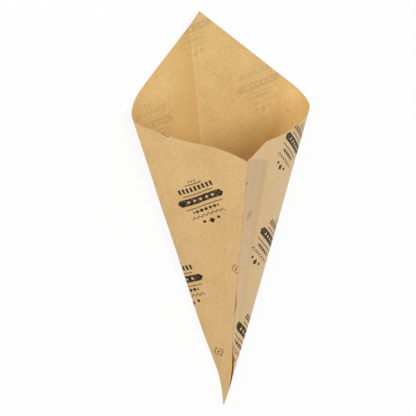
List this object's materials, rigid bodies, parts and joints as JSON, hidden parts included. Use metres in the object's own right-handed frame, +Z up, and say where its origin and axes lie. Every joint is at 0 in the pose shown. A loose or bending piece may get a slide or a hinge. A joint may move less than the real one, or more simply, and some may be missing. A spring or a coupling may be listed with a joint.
{
  "type": "greaseproof paper cone",
  "caption": "Takeaway cone folded from one square sheet of kraft-brown greaseproof paper, with a pointed back flap and a lapped front ridge.",
  "frame": {"origin": "middle of the cone's box in plan, on the table under its back panel", "axes": "+Z up from the table, +Y from the tip towards the mouth, +X to the right looking into +Y"},
  "size_m": [0.1302, 0.283, 0.0627],
  "materials": {
    "greaseproof_paper": "matt kraft greaseproof paper with a faint calendered sheen"
  },
  "bodies": {
    "root": {"paper_cone": "greaseproof_paper"}
  },
  "joints": []
}
